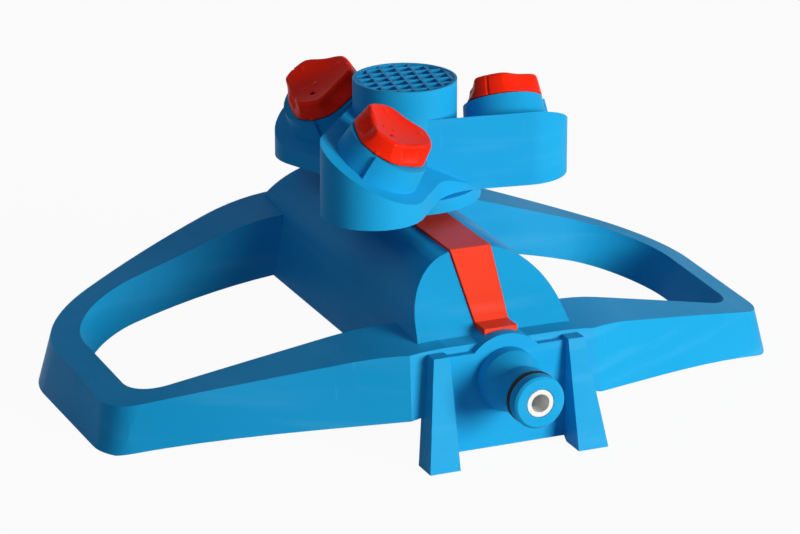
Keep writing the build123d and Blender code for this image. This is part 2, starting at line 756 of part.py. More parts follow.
def dial_body():
    """Dial in its own frame, with its pointer tooth and nozzle hole towards +x'."""
    wall_points = [(0, 0), (dial_r, 0), (dial_top_r, dial_height), (0, dial_height)]
    body = dial_revolve(wall_points, 0, 360)
    for turn, flank_in in dial_flanks:
        body -= flank_scoop(turn, flank_in)
    dish_h = dial_height - dial_dish_depth + dial_dish_r
    body -= Pos(dial_dish_x, 0, dish_h) * Sphere(dial_dish_r)
    body += rod(stem_r, (0, 0, -stem_length), (0, 0, nudge))
    ring_room = 2 * ring_section_r + seat_gap
    low_h = ring_h - ring_room / 2
    high_h = ring_h + ring_room / 2
    groove_r = well_r - ring_room
    groove_points = [(groove_r, low_h), (well_r + nudge, low_h), (well_r + nudge, high_h), (groove_r, high_h)]
    body -= dial_revolve(groove_points, 0, 360)
    tooth_x = dial_r + dial_tooth_reach - dial_tooth_r
    body += rod(dial_tooth_r, (tooth_x, 0, 0), (tooth_x, 0, dial_rim_height))
    body -= rod(jet_r + seat_gap, (jet_x, 0, jet_foot), (jet_x, 0, dial_height))
    body -= rod(jet_bore_r, (jet_x, 0, -stem_length), (jet_x, 0, dial_height))
    return body


jet_top = dial_height - dial_dish_depth - jet_sink
jet_foot = jet_top - jet_height
dial = dial_body()
jet = rod(jet_r, (jet_x, 0, jet_foot + seat_gap), (jet_x, 0, jet_top))
jet -= rod(jet_bore_r, (jet_x, 0, jet_foot), (jet_x, 0, jet_top))
ring = Pos(0, 0, ring_h) * Torus(well_r - ring_section_r - seat_gap / 2, ring_section_r)
seat = rod(well_r - seat_gap, (0, 0, -well_depth), (0, 0, seat_thick - well_depth))
seat -= rod(seat_hole_r, (0, 0, -well_depth), (0, 0, seat_thick - well_depth))
for number, (angle, pointer) in enumerate(zip(arm_angles, dial_pointers), start=1):
    frame = dial_plane(angle)
    turned = Rot(0, 0, pointer)
    pieces[f"dial_{number}"] = frame * (turned * dial)
    pieces[f"dial_ring_{number}"] = frame * ring
    pieces[f"nozzle_{number}"] = frame * (turned * jet)
    pieces[f"nozzle_seat_{number}"] = frame * seat

# The origin is the middle of the footprint

box = pieces["base_shell"].bounding_box()
middle_y = (tip_y + box.max.Y) / 2
for name, piece in pieces.items():
    export_step(Pos(0, -middle_y, 0) * piece, f"parts/{name}.step")
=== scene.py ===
"""Garden sprinkler with three sloping arms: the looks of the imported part.

Laid out as a Blender add-on and run as a script. The frame gives every solid;
this file gives the finishes, the rounded edges, the moulded dials and the stage.
"""

import json
import math

import bmesh
import bpy
import numpy as np
from bpy.props import FloatProperty, FloatVectorProperty, IntProperty, PointerProperty
from bpy.types import Operator, Panel, PropertyGroup
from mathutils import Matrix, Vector


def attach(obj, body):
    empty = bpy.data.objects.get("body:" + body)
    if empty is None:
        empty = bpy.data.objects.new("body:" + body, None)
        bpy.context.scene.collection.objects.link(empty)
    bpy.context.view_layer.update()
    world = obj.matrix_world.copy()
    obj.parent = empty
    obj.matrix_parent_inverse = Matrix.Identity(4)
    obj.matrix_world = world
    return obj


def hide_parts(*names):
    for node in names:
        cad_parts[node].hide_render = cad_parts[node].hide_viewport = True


bl_info = {
    "name": "Garden sprinkler",
    "version": (1, 0, 0),
    "blender": (4, 5, 0),
    "location": "View3D > Sidebar > Sprinkler",
    "description": "Finishes, rounded edges, moulded dials and stage of a garden sprinkler",
    "category": "Object",
}

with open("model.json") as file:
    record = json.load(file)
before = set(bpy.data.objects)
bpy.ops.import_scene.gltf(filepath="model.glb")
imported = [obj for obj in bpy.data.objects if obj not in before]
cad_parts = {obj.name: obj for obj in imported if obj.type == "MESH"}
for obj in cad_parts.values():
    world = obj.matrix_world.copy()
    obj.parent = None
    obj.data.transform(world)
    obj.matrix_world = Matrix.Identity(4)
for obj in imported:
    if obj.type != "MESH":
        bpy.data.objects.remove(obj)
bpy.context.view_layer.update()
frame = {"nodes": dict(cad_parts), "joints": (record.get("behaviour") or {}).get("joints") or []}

MM = 0.001

# Settings that a user may change


def colour_setting(name, description, default):
    """A colour."""
    return FloatVectorProperty(
        name=name, description=description, subtype="COLOR", size=3, min=0, max=1, default=default
    )


def length_setting(name, description, default):
    """A length in metres."""
    return FloatProperty(name=name, description=description, unit="LENGTH", default=default, precision=5)


def angle_setting(name, description, degrees):
    """A turn, whose default is given in degrees."""
    return FloatProperty(name=name, description=description, subtype="ANGLE", default=math.radians(degrees))


def place_setting(name, description, default):
    """A point in space."""
    return FloatVectorProperty(
        name=name, description=description, subtype="TRANSLATION", size=3, default=default
    )


class SPRINKLER_PG_plastics(PropertyGroup):
    """Colours and surface of the moulded pieces."""

    blue: colour_setting("Blue", "Body colour of base and rotor", (0.012, 0.35, 0.70))
    red: colour_setting("Red", "Colour of the dials", (0.92, 0.020, 0.003))
    orange: colour_setting("Orange", "Colour of the trim strip", (0.90, 0.060, 0.026))
    white: colour_setting("White", "Colour of the inlet insert", (0.74, 0.75, 0.75))
    dark: colour_setting("Dark", "Colour of the small dark parts", (0.014, 0.012, 0.013))
    rubber: colour_setting("Rubber", "Colour of the seals", (0.006, 0.006, 0.007))
    steel: colour_setting("Steel", "Colour of the screws and clip", (0.62, 0.62, 0.60))
    grain: length_setting("Grain", "Size of the fine moulding grain", 0.0007)
    roughness: FloatProperty(
        name="Roughness",
        description="Mean roughness of the moulded skin",
        subtype="FACTOR",
        min=0,
        max=1,
        default=0.36,
    )


class SPRINKLER_PG_edges(PropertyGroup):
    """How sharp edges of the moulded pieces are rounded."""

    width: length_setting("Edge width", "Width of a rounded edge on the large shells", 0.0005)
    fine: length_setting("Fine edge width", "Width of a rounded edge on the small pieces", 0.00022)
    angle: angle_setting("Edge angle", "Edges sharper than this are rounded", 28)
    crease: angle_setting("Crease angle", "Faces that meet at more than this are shaded apart", 16)
    steps: IntProperty(name="Edge steps", description="Faces across a rounded edge", min=1, max=6, default=2)


class SPRINKLER_PG_plate(PropertyGroup):
    """Where the inlet plate ends below, in the solid and in the real object."""

    front: length_setting("Plate front", "Place of the plate's front face along Y", -0.0604)
    half: length_setting("Half width", "Half the plate's width between the feet", 0.0192)
    solid_foot: length_setting("Solid's foot", "Height of the plate's lower edge in the solid", 0.0090)
    foot: length_setting("Foot", "Height of the plate's lower edge", 0.0014)


class SPRINKLER_PG_dials(PropertyGroup):
    """Shape of the three dials, and where their pointers stand."""

    radius: length_setting("Radius", "Radius of a dial at its foot", 0.0124)
    stem_radius: length_setting("Stem radius", "Radius of the stem in the rotor's well", 0.0082)
    stem_length: length_setting("Stem length", "Length of the stem", 0.0054)
    floor_height: length_setting("Dish floor", "Height of the lowest point of the dished top", 0.0050)
    dish_x: length_setting("Dish offset", "Distance of the dish's lowest point from the axis", 0.002)
    dish_rise: FloatProperty(name="Dish rise", description="Rise per metre squared", default=12.0)
    lean: FloatProperty(name="Lean", description="Inward lean of the round wall", default=0.14)
    front_lean: FloatProperty(name="Front lean", description="Extra lean under the nozzle", default=0.12)
    flank_low: length_setting("Flank foot", "Distance of a flank from the axis at the foot", 0.0117)
    flank_high: length_setting("Flank top", "Distance of a side flank from the axis at the top", 0.0084)
    rear_high: length_setting("Rear flank top", "Distance of the rear flank from the axis at the top", 0.0094)
    top_height: length_setting("Top", "Greatest height of the dial above its foot", 0.0065)
    flank_angle: angle_setting("Flank angle", "Turn of the gripping flanks", 58)
    rib_pitch: length_setting("Rib pitch", "Distance between the gripping ribs", 0.00085)
    rib_height: length_setting("Rib height", "Height of the gripping ribs", 0.00016)
    rib_reach: length_setting("Rib reach", "Half width of the ribbed part of a flank", 0.0042)
    lip: length_setting("Lip", "Radius of the rounded edge between wall and top", 0.0013)
    blend: length_setting("Blend", "Reach over which a flank runs into the round wall", 0.0016)
    jet_x: length_setting("Nozzle offset", "Distance of the nozzle from the axis", 0.0056)
    jet_radius: length_setting("Nozzle radius", "Radius of the hole over the nozzle", 0.00085)
    jet_depth: length_setting("Nozzle depth", "Depth of the hole over the nozzle", 0.0042)
    pointer_1: angle_setting("Pointer 1", "Turn of dial 1", 115)
    pointer_2: angle_setting("Pointer 2", "Turn of dial 2", 116)
    pointer_3: angle_setting("Pointer 3", "Turn of dial 3", -2)


class SPRINKLER_PG_stage(PropertyGroup):
    """Camera, lamps and floor."""

    target: place_setting("Target", "Point that the camera looks at", (-0.00156, 0.0150, 0.0329))
    camera: place_setting("Camera", "Place of the camera", (-0.4523, -1.0336, 0.4344))
    lens: FloatProperty(name="Lens", description="Focal length on a 36 mm sensor", default=175.8)
    key: FloatProperty(
        name="Key lamp", description="Power of the lamp at the front right", unit="POWER", default=27.5
    )
    key_place: place_setting("Key place", "Place of the key lamp", (0.72, -1.36, 0.36))
    key_side: length_setting("Key side", "Side of the key lamp", 0.6)
    key_colour: colour_setting("Key colour", "Colour of the key lamp", (1.0, 1.0, 0.90))
    fill: FloatProperty(
        name="Fill lamp", description="Power of the lamp at the left", unit="POWER", default=3.0
    )
    fill_place: place_setting("Fill place", "Place of the lamp at the left", (-0.9, -0.7, 1.1))
    fill_side: length_setting("Fill side", "Side of the lamp at the left", 0.9)
    fill_colour: colour_setting("Fill colour", "Colour of the lamp at the left", (1.0, 0.52, 0.44))
    sky: FloatProperty(name="Sky", description="Light of the surroundings on the object", default=0.17)
    sky_colour: colour_setting("Sky colour", "Colour of the surroundings' light", (0.46, 0.60, 1.0))
    floor_colour: colour_setting("Floor colour", "Colour of the floor", (0.7, 0.7, 0.7))
    floor_half: length_setting("Floor half", "Half the side of the floor", 6.0)
    floor_share: FloatProperty(
        name="Floor's white", description="Share of plain white that the camera sees on the floor", default=0.95
    )


# Materials

# Features per metre of the skin's clouds and scuffed patches, and along X, Y and Z of its streaks and scratches
CLOUDS = 22.0
PATCHES = 30.0
STREAKS = (14.0, 14.0, 160.0)
SCRATCHES = (900.0, 40.0, 60.0)
SCRATCH_TURN = (0.6, 0.3, 0.9)
SKIN_DEPTH = 0.03 * MM
WHITE = (1, 1, 1, 1)


def add(tree, kind, inputs=None, **values):
    """A node with its values set and its inputs linked or filled in."""
    made = tree.nodes.new(kind)
    for name, value in values.items():
        setattr(made, name, value)
    for name, value in (inputs or {}).items():
        if isinstance(value, bpy.types.NodeSocket):
            tree.links.new(value, made.inputs[name])
        else:
            made.inputs[name].default_value = value
    return made


def noise(tree, place, scale, detail):
    """Cloudy pattern from 0 to 1 with features of about 1 / scale metres."""
    made = add(tree, "ShaderNodeTexNoise", {"Vector": place, "Scale": scale, "Detail": detail})
    return made.outputs["Fac"]


def stretched(tree, place, scale, turn=(0, 0, 0)):
    """Place turned, and scaled apart along X, Y and Z."""
    made = add(tree, "ShaderNodeMapping", {"Vector": place, "Rotation": turn, "Scale": scale})
    return made.outputs["Vector"]


def ramp(tree, value, low, high, start=0.0, end=1.0):
    """Value carried smoothly from the range low to high into start to end."""
    made = add(
        tree,
        "ShaderNodeMapRange",
        {"Value": value, "From Min": low, "From Max": high, "To Min": start, "To Max": end},
        interpolation_type="SMOOTHSTEP",
    )
    return made.outputs["Result"]


def combined(tree, operation, first, *others):
    """First value joined to each of the others in turn by a math operation."""
    for other in others:
        made = add(tree, "ShaderNodeMath", {0: first, 1: other}, operation=operation)
        first = made.outputs["Value"]
    return first


def tinted(tree, colour, value, saturation):
    """Colour with its brightness and saturation multiplied."""
    made = add(
        tree, "ShaderNodeHueSaturation", {"Color": colour, "Value": value, "Saturation": saturation}
    )
    return made.outputs["Color"]


def mixed_colour(tree, share, first, second):
    """First colour with a share of the second, by the numbers of the Mix node's colour sockets."""
    return add(tree, "ShaderNodeMix", {0: share, 6: first, 7: second}, data_type="RGBA").outputs[2]


def new_group(name, inputs, outputs):
    """An empty shader node group with its sockets, and its input and output nodes."""
    tree = bpy.data.node_groups.new(name, "ShaderNodeTree")
    for label, kind, default in inputs:
        socket = tree.interface.new_socket(label, in_out="INPUT", socket_type=kind)
        socket.default_value = default
    for label, kind in outputs:
        tree.interface.new_socket(label, in_out="OUTPUT", socket_type=kind)
    return tree, tree.nodes.new("NodeGroupInput"), tree.nodes.new("NodeGroupOutput")


def moulded_skin():
    """Group: injection moulded plastic with grain, flow streaks and handling scuffs."""
    found = bpy.data.node_groups.get("Moulded skin")
    if found:
        return found
    inputs = (
        ("Colour", "NodeSocketColor", (0.5, 0.5, 0.5, 1)),
        ("Roughness", "NodeSocketFloat", 0.4),
        ("Grain scale", "NodeSocketFloat", 1400.0),
        ("Wear", "NodeSocketFloat", 0.5),
    )
    outputs = (
        ("Colour", "NodeSocketColor"),
        ("Roughness", "NodeSocketFloat"),
        ("Height", "NodeSocketFloat"),
    )
    tree, inner, outer = new_group("Moulded skin", inputs, outputs)
    colour = inner.outputs["Colour"]
    place = add(tree, "ShaderNodeTexCoord").outputs["Object"]

    clouds = noise(tree, place, CLOUDS, 3.0)
    streaks = noise(tree, stretched(tree, place, STREAKS), 1.0, 3.0)
    grain = noise(tree, place, inner.outputs["Grain scale"], 2.0)
    scratches = ramp(tree, noise(tree, stretched(tree, place, SCRATCHES, SCRATCH_TURN), 1.0, 2.0), 0.67, 0.74)
    patches = ramp(tree, noise(tree, place, PATCHES, 2.0), 0.5, 0.68)
    scuffs = combined(tree, "MULTIPLY", scratches, patches, inner.outputs["Wear"])

    dark = tinted(tree, colour, 0.86, 1.02)
    pale = tinted(tree, colour, 1.3, 0.84)
    mottled = mixed_colour(tree, ramp(tree, clouds, 0.35, 0.7, 0.0, 0.3), colour, dark)
    flowed = mixed_colour(tree, ramp(tree, streaks, 0.5, 0.75, 0.0, 0.12), mottled, pale)
    scuffed = mixed_colour(tree, combined(tree, "MULTIPLY", scuffs, 0.4), flowed, pale)
    tree.links.new(scuffed, outer.inputs["Colour"])

    rough = combined(
        tree,
        "ADD",
        inner.outputs["Roughness"],
        ramp(tree, grain, 0.3, 0.7, -0.04, 0.05),
        ramp(tree, clouds, 0.3, 0.7, -0.03, 0.04),
        combined(tree, "MULTIPLY", scuffs, 0.25),
    )
    tree.links.new(rough, outer.inputs["Roughness"])

    low_streaks = combined(tree, "MULTIPLY", streaks, 0.6)
    dents = combined(tree, "MULTIPLY", scuffs, -1.0)
    tree.links.new(combined(tree, "ADD", grain, low_streaks, dents), outer.inputs["Height"])
    return tree


def new_material(name):
    """Material with an empty node tree."""
    material = bpy.data.materials.new(name)
    material.use_nodes = True
    material.node_tree.nodes.clear()
    return material


def skin_material(name, colour, roughness, wear, bump, shine, metallic):
    """Material of the moulded skin group on a Principled BSDF."""
    found = bpy.data.materials.get(name)
    if found:
        return found
    material = new_material(name)
    tree = material.node_tree
    skin = add(
        tree,
        "ShaderNodeGroup",
        {
            "Colour": (*colour, 1),
            "Roughness": roughness,
            "Grain scale": 1 / bpy.context.scene.sprinkler_plastics.grain,
            "Wear": wear,
        },
        node_tree=moulded_skin(),
    )
    relief = add(
        tree,
        "ShaderNodeBump",
        {"Height": skin.outputs["Height"], "Strength": bump, "Distance": SKIN_DEPTH},
    )
    principled = add(
        tree,
        "ShaderNodeBsdfPrincipled",
        {
            "Base Color": skin.outputs["Colour"],
            "Roughness": skin.outputs["Roughness"],
            "Normal": relief.outputs["Normal"],
            "Specular IOR Level": shine,
            "Metallic": metallic,
        },
    )
    add(tree, "ShaderNodeOutputMaterial", {"Surface": principled.outputs["BSDF"]})
    return material


def finish_of(slot):
    """Material of one of the record's slots."""
    plastics = bpy.context.scene.sprinkler_plastics
    mean = plastics.roughness
    # For each slot: material's name, colour, roughness, wear, strength of the bumps, shine, metal
    finishes = {
        "blue_plastic": ("Blue moulded plastic", plastics.blue, mean + 0.12, 0.4, 0.2, 0.05, 0),
        "red_plastic": ("Red dial plastic", plastics.red, mean, 0.1, 0.1, 0.08, 0),
        "orange_plastic": ("Orange strip plastic", plastics.orange, mean, 0.15, 0.12, 0.08, 0),
        "white_plastic": ("White insert plastic", plastics.white, mean, 0.1, 0.2, 0.5, 0),
        "dark_plastic": ("Dark plastic", plastics.dark, mean + 0.08, 0.3, 0.3, 0.1, 0),
        "black_rubber": ("Seal rubber", plastics.rubber, 0.55, 0.2, 0.5, 0.15, 0),
        "steel": ("Plain steel", plastics.steel, 0.28, 0.3, 0.2, 0.5, 1),
    }
    return skin_material(*finishes[slot])


def new_object(name, data):
    """Object that shows data, in the scene."""
    made = bpy.data.objects.new(name, data)
    bpy.context.scene.collection.objects.link(made)
    return made


# Rounded copies of the frame's solids

SEAM = 0.001 * MM
FLAT = math.radians(0.4)
NEAR = 0.1 * MM


def rounded_copy(node, name, body, slot, width):
    """Copy of a frame solid with its corners joined, its flats whole and its edges rounded by width."""
    edges = bpy.context.scene.sprinkler_edges
    mesh = frame["nodes"][node].data.copy()
    mesh.name = name
    shape = bmesh.new()
    shape.from_mesh(mesh)
    bmesh.ops.remove_doubles(shape, verts=shape.verts, dist=SEAM)
    bmesh.ops.dissolve_limit(shape, angle_limit=FLAT, verts=shape.verts, edges=shape.edges)
    shape.to_mesh(mesh)
    shape.free()
    mesh.shade_smooth()
    mesh.set_sharp_from_angle(angle=edges.crease)
    mesh.materials.clear()
    mesh.materials.append(finish_of(slot))
    piece = new_object(name, mesh)
    if width > 0:
        rounding = piece.modifiers.new("Rounded edges", "BEVEL")
        rounding.width = width
        rounding.segments = edges.steps
        rounding.limit_method = "ANGLE"
        rounding.angle_limit = edges.angle
        rounding.harden_normals = True
        rounding.use_clamp_overlap = True
    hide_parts(node)
    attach(piece, body)
    return piece


def lengthen_plate(mesh, plate):
    """Takes the lower edge of the inlet plate down to its real height, within the plane of its front face."""
    points = np.empty(len(mesh.vertices) * 3)
    mesh.vertices.foreach_get("co", points)
    x, y, z = points.reshape(-1, 3).T
    edge = (np.abs(y - plate.front) < NEAR) & (np.abs(z - plate.solid_foot) < NEAR) & (np.abs(x) < plate.half)
    if not edge.any():
        raise RuntimeError("the plate's lower edge wasn't found")
    z[edge] = plate.foot
    mesh.vertices.foreach_set("co", points)
    mesh.update()


class SPRINKLER_OT_base(Operator):
    """Base shell with its wings, tower and inlet plate, and the trim strip."""

    bl_idname = "sprinkler.base"
    bl_label = "Base and strip"

    def execute(self, context):
        edges = context.scene.sprinkler_edges
        shell = rounded_copy("base_shell", "base_shell_moulded", "base", "blue_plastic", edges.width)
        lengthen_plate(shell.data, context.scene.sprinkler_plate)
        rounded_copy("trim_strip", "trim_strip_moulded", "base", "orange_plastic", edges.width)
        return {"FINISHED"}


class SPRINKLER_OT_inlet(Operator):
    """Hose nipple with its O-ring and insert."""

    bl_idname = "sprinkler.inlet"
    bl_label = "Inlet"

    def execute(self, context):
        edges = context.scene.sprinkler_edges
        rounded_copy("inlet_nipple", "inlet_nipple_moulded", "base", "blue_plastic", edges.fine)
        rounded_copy("nipple_o_ring", "nipple_o_ring_rubber", "base", "black_rubber", 0)
        rounded_copy("inlet_insert", "inlet_insert_moulded", "base", "white_plastic", edges.fine)
        return {"FINISHED"}


class SPRINKLER_OT_rotor(Operator):
    """Rotor with its three arms and collars, and the gridded cap of its hub."""

    bl_idname = "sprinkler.rotor"
    bl_label = "Rotor and cap"

    def execute(self, context):
        edges = context.scene.sprinkler_edges
        rounded_copy("rotor_shell", "rotor_shell_moulded", "rotor", "blue_plastic", edges.width)
        rounded_copy("hub_cap", "hub_cap_moulded", "rotor", "blue_plastic", edges.fine)
        return {"FINISHED"}


# Dials

DIAL_TURNS = 540
WALL_RINGS = 18
TOP_RINGS = 43

# Raised marks on a dial's top: x, y, radius and height
MARKS = MM * np.array(
    ((1.2, -0.4, 0.7, 0.22), (3.4, -3.4, 0.6, 0.22), (-5.2, -6.6, 0.8, 0.25), (-5.6, 6.0, 0.9, 0.25))
)
# Share of the dish's rise along X, and reach over which its rise ends at the top's greatest height
DISH_SHARE = 0.9
TOP_BLEND = 0.4 * MM
# Turn over which the lean under the nozzle fades, and to which a flank's plane reaches from its middle
FRONT_TURN = math.radians(32)
FLANK_TURN = math.radians(75)
# Power of the flanks' run inwards, and how far they bend from their plane at the dial's radius
FLANK_POWER = 0.8
FLANK_BEND = 3 * MM
FAR = 1.0
# Shares of the height where the ribs start and over which they rise, and of their reach over which they end
RIB_START, RIB_RISE, RIB_END = 0.08, 0.2, 0.25
# Turn, depth and half width of the two grooves in the rear corners
GROOVE_TURN = 2 * np.pi / 3
GROOVE_DEPTH = 0.4 * MM
GROOVE_WIDTH = 0.35 * MM
# Bevel of foot and stem, also the reach of the pointer's tooth, and the tooth's half width and height
FOOT_EDGE = 0.3 * MM
TOOTH_WIDTH = 0.6 * MM
TOOTH_HEIGHT = 1.6 * MM
# Share of the lip's radius by which the top's edge stands in, and how fast the lip's height fades on the top
LIP_RUN = 0.9
LIP_FADE = 8


def closed_skin(name, points):
    """Closed mesh from rings of points, an array of rings by turns by 3, with a flat face at each end.

    Each quad joins two neighbours of a ring to the two of the same turns on the next ring.
    """
    rings, turns = points.shape[:2]
    corner = np.arange(rings * turns).reshape(rings, turns)
    following = np.roll(corner, -1, axis=1)
    quads = np.stack([corner[:-1], following[:-1], following[1:], corner[1:]], -1).reshape(-1, 4)
    corners = np.concatenate([quads.ravel(), corner[0, ::-1], corner[-1]]).astype(np.int32)
    starts = np.append(np.arange(len(quads) + 1) * 4, len(quads) * 4 + turns).astype(np.int32)
    mesh = bpy.data.meshes.new(name)
    mesh.vertices.add(rings * turns)
    mesh.vertices.foreach_set("co", points.astype(np.float32).ravel())
    mesh.loops.add(len(corners))
    mesh.loops.foreach_set("vertex_index", corners)
    mesh.polygons.add(len(starts))
    mesh.polygons.foreach_set("loop_start", starts)
    mesh.update(calc_edges=True)
    mesh.validate()
    mesh.shade_smooth()
    return mesh


def soft_min(first, second, reach):
    """Smaller of two arrays, with the corner between them rounded over reach."""
    share = np.clip(0.5 + 0.5 * (second - first) / reach, 0, 1)
    return second * (1 - share) + first * share - reach * share * (1 - share)


def angle_from(turn, middle):
    """Turn measured from middle, between minus and plus half a turn."""
    return (turn - middle + np.pi) % (2 * np.pi) - np.pi


def ring(turn, radius, height):
    """Ring of points about the axis. Its radius and height may change along the turn."""
    radius, height = radius + 0 * turn, height + 0 * turn
    return np.stack([radius * np.cos(turn), radius * np.sin(turn), height], -1)


def dial_top(x, y, dials):
    """Height of the dished top.

    A bowl rises with the square of the distance from (dish_x, 0), less so along X, and ends softly at
    top_height. Each mark adds a flat bump, the exponential of minus the fourth power of the distance.
    """
    height = dials.floor_height + dials.dish_rise * (DISH_SHARE * (x - dials.dish_x) ** 2 + y**2)
    for mark_x, mark_y, mark_radius, mark_height in MARKS:
        away = ((x - mark_x) ** 2 + (y - mark_y) ** 2) / mark_radius**2
        height = height + mark_height * np.exp(-(away**2))
    return dials.top_height + soft_min(height - dials.top_height, 0, TOP_BLEND)


def flank_cut(away, part, top, ribbed, dials):
    """Distance of a flank from the axis, at turns away from its middle and a part of the dial's height.

    The flank stands flank_low from the axis at the foot and runs in to top with a power of the sine of
    the height. It bends out from its plane with the square of the distance along it. A ribbed one adds
    a cosine of that distance, which fades in above the foot and out at rib_reach.
    """
    near = np.abs(away) < FLANK_TURN
    safe = np.where(near, away, 0)
    depth = dials.flank_low + (top - dials.flank_low) * np.sin(part * np.pi / 2) ** FLANK_POWER
    along = depth * np.tan(safe)
    cut = depth + FLANK_BEND * (along / dials.radius) ** 2 * part
    if ribbed:
        sides = np.clip((dials.rib_reach - np.abs(along)) / (RIB_END * dials.rib_reach), 0, 1)
        rise = np.clip((part - RIB_START) / RIB_RISE, 0, 1)
        cut = cut + dials.rib_height * sides * rise * np.cos(2 * np.pi * along / dials.rib_pitch)
    return np.where(near, cut / np.cos(safe), FAR)


def dial_wall(turn, height, dials):
    """Distance of the wall from the axis.

    The round wall leans inwards, more in front of the nozzle. Three flanks cut into it, the two beside
    the nozzle with upright ribs, and a narrow bell curve takes a groove out of each rear corner.
    """
    front = np.exp(-((angle_from(turn, 0) / FRONT_TURN) ** 2))
    wall = dials.radius - (dials.lean + dials.front_lean * front) * height
    part = np.clip(height / dials.top_height, 0, 1)
    flanks = (
        (dials.flank_angle, dials.flank_high, True),
        (-dials.flank_angle, dials.flank_high, True),
        (np.pi, dials.rear_high, False),
    )
    for middle, top, ribbed in flanks:
        cut = flank_cut(angle_from(turn, middle), part, top, ribbed, dials)
        wall = soft_min(wall, cut, dials.blend)
    for corner in (GROOVE_TURN, -GROOVE_TURN):
        across = angle_from(turn, corner) * dials.radius / GROOVE_WIDTH
        wall = wall - GROOVE_DEPTH * np.exp(-(across**2))
    return wall


def foot_rings(turn, tooth, dials):
    """Rings of the stem, the flat under the dial and the bevel at the wall's foot with the pointer's tooth."""
    wall = dial_wall(turn, FOOT_EDGE, dials)
    return [
        ring(turn, 0.5 * dials.stem_radius, -dials.stem_length),
        ring(turn, dials.stem_radius - FOOT_EDGE, -dials.stem_length),
        ring(turn, dials.stem_radius, FOOT_EDGE - dials.stem_length),
        ring(turn, dials.stem_radius, 0),
        ring(turn, wall - FOOT_EDGE, 0),
        ring(turn, wall + FOOT_EDGE * (tooth - 1 / 3), FOOT_EDGE / 3),
        ring(turn, wall + FOOT_EDGE * tooth, FOOT_EDGE),
    ]


def rim_height(turn, dials):
    """Height where the wall meets the top, found by going from one to the other until they agree."""
    height = np.full(turn.shape, dials.floor_height)
    for _ in range(8):
        wall = dial_wall(turn, height, dials)
        height = dial_top(wall * np.cos(turn), wall * np.sin(turn), dials)
    return height


def wall_rings(turn, tooth, dials):
    """Rings of the wall, on which the tooth fades out with height, and of the lip, a quarter turn at its end."""
    lip = dials.lip
    end = rim_height(turn, dials) - lip
    rings = []
    for share in np.linspace(0.06, 1, WALL_RINGS):
        height = FOOT_EDGE + (end - FOOT_EDGE) * share
        fade = np.clip(1 - height / TOOTH_HEIGHT, 0, 1)
        rings.append(ring(turn, dial_wall(turn, height, dials) + FOOT_EDGE * tooth * fade, height))
    wall = dial_wall(turn, end, dials)
    for bend in np.radians((22.5, 45, 67.5, 90)):
        rings.append(ring(turn, wall - lip * LIP_RUN * (1 - np.cos(bend)), end + lip * np.sin(bend)))
    return rings


def top_rings(lip_ring, dials):
    """Rings of the top, which shrink evenly from the lip to the nozzle's circle, and the floor of its hole.

    They lie on dial_top. What the lip stands off it fades out with a power of the distance left.
    """
    outer, height = lip_ring[:, :2], lip_ring[:, 2]
    step = height - dial_top(outer[:, 0], outer[:, 1], dials)
    seat_turn = np.arctan2(outer[:, 1], outer[:, 0] - dials.jet_x)
    seat = dials.jet_radius * np.stack([np.cos(seat_turn), np.sin(seat_turn)], -1) + (dials.jet_x, 0)
    rings = []
    for share in np.linspace(0, 1, TOP_RINGS + 1)[1:]:
        flat = outer + (seat - outer) * share
        top = dial_top(flat[:, 0], flat[:, 1], dials) + step * (1 - share) ** LIP_FADE
        rings.append(np.column_stack([flat, top]))
    floor = np.full(len(seat), dials.floor_height - dials.jet_depth)
    rings.append(np.column_stack([seat, floor]))
    return rings


def dial_points(dials):
    """Rings of points of one dial in its own frame, from the end of its stem to the floor of its nozzle's hole.

    The tooth stands at turn 0, with the exponential of minus the fourth power of the distance from it.
    """
    turn = np.linspace(0, 2 * np.pi, DIAL_TURNS, endpoint=False)
    tooth = np.exp(-((angle_from(turn, 0) * dials.radius / TOOTH_WIDTH) ** 4))
    rings = foot_rings(turn, tooth, dials) + wall_rings(turn, tooth, dials)
    return np.stack(rings + top_rings(rings[-1], dials))


def dial_frame(number):
    """Origin of a dial's own frame, from its joint, and its directions: outwards, downhill and up its axis."""
    joint = next(j for j in frame["joints"] if j["name"] == f"dial_{number}_turn")
    up = Vector(joint["axis"]).normalized()
    across = Vector((up.x, up.y, 0)).normalized()
    out = Vector((across.y, -across.x, 0))
    return Vector(joint["pos_m"]), out, up.cross(out), up


class SPRINKLER_OT_dials(Operator):
    """Three dials with ribbed flanks, a dished top and a pointer tooth, and their nozzles."""

    bl_idname = "sprinkler.dials"
    bl_label = "Dials"

    def execute(self, context):
        dials = context.scene.sprinkler_dials
        own = dial_points(dials)
        for number in (1, 2, 3):
            origin, out, downhill, up = dial_frame(number)
            pointer = getattr(dials, f"pointer_{number}")
            ahead = out * math.cos(pointer) + downhill * math.sin(pointer)
            placed = own @ np.array([ahead, up.cross(ahead), up]) + np.array(origin)
            name = f"dial_{number}_moulded"
            mesh = closed_skin(name, placed)
            mesh.materials.append(finish_of("red_plastic"))
            piece = new_object(name, mesh)
            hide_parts(f"dial_{number}")
            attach(piece, f"dial_{number}")
            rounded_copy(f"nozzle_{number}", f"nozzle_{number}_moulded", f"dial_{number}", "dark_plastic", 0)
        return {"FINISHED"}


class SPRINKLER_OT_inner(Operator):
    """Finishes of the pieces that stay as the frame gives them."""

    bl_idname = "sprinkler.inner"
    bl_label = "Inner pieces"

    def execute(self, context):
        for node in frame["nodes"].values():
            for held in node.material_slots:
                finish = finish_of(held.material.name.split(".")[0])
                held.link = "OBJECT"
                held.material = finish
        return {"FINISHED"}


# Stage

FLOOR_DEPTH = 0.2 * MM


